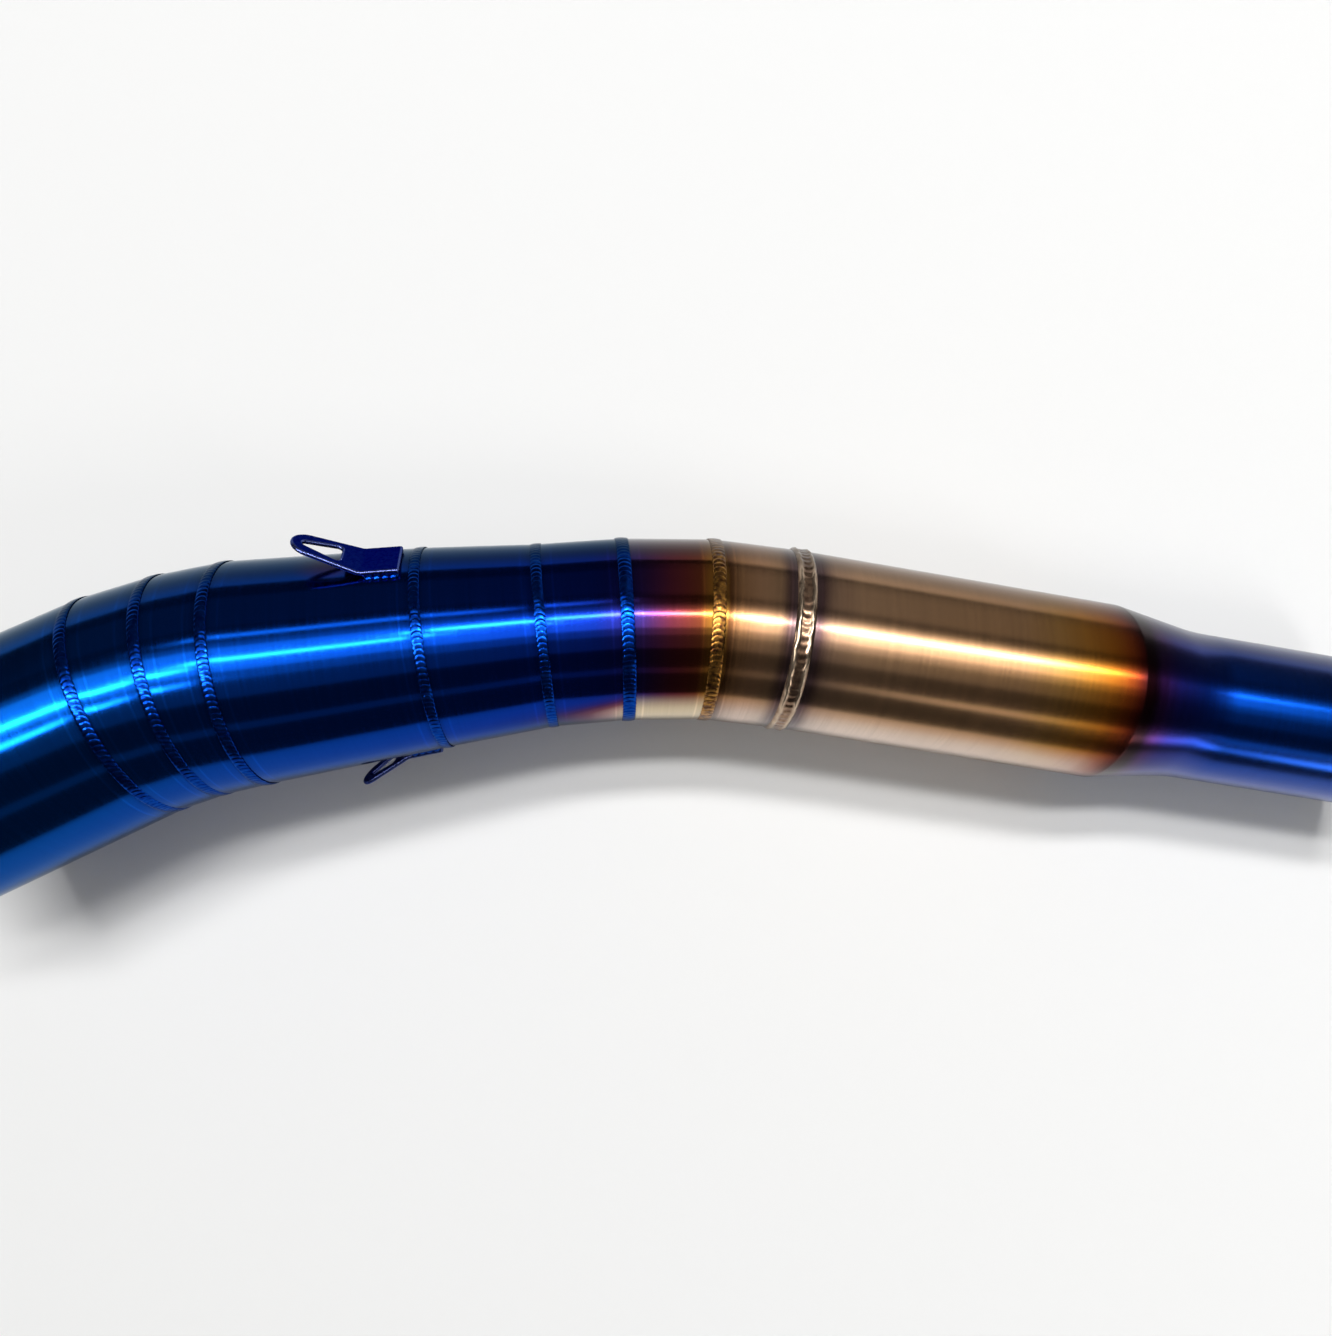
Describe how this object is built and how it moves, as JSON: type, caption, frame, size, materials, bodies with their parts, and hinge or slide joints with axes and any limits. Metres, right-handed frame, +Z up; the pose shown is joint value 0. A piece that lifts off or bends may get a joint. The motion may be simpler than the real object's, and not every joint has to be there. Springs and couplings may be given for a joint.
{
  "type": "exhaust link pipe",
  "caption": "Bent motorbike exhaust link pipe welded from mitred heat-tinted titanium tube, with a wide outlet, a swaged inlet neck and spring hooks.",
  "frame": {"origin": "on the floor under the middle of the pipe's box, with the pipe lying at rest", "axes": "+X along the pipe's length from the wide outlet to the inlet neck, +Y to the outside of the bend, +Z up"},
  "size_m": [0.4266, 0.0952, 0.0659],
  "materials": {
    "blued_titanium": "brushed titanium heat-tinted deep blue",
    "plum_titanium": "brushed titanium heat-tinted plum",
    "bronze_titanium": "brushed titanium heat-tinted straw to bronze",
    "blued_weld": "rippled titanium weld, tinted blue",
    "straw_weld": "rippled titanium weld, silvery straw",
    "hook_titanium": "cut titanium plate tinted navy, with bright edges"
  },
  "bodies": {
    "root": {"outlet_tube": "blued_titanium", "outlet_mitre_1": "blued_titanium", "outlet_mitre_2": "blued_titanium", "large_taper": "blued_titanium", "small_taper": "blued_titanium", "bend_mitre_1": "blued_titanium", "bend_mitre_2": "plum_titanium", "bend_mitre_3": "bronze_titanium", "inlet_tube": "bronze_titanium", "weld_1": "blued_weld", "weld_2": "blued_weld", "weld_3": "blued_weld", "weld_4": "blued_weld", "weld_5": "blued_weld", "weld_6": "blued_weld", "weld_7": "straw_weld", "weld_8": "straw_weld", "outer_spring_hook": "hook_titanium", "inner_spring_hook": "hook_titanium", "outer_hook_weld_left": "blued_weld", "outer_hook_weld_right": "blued_weld", "inner_hook_weld_left": "blued_weld", "inner_hook_weld_right": "blued_weld"}
  },
  "joints": []
}
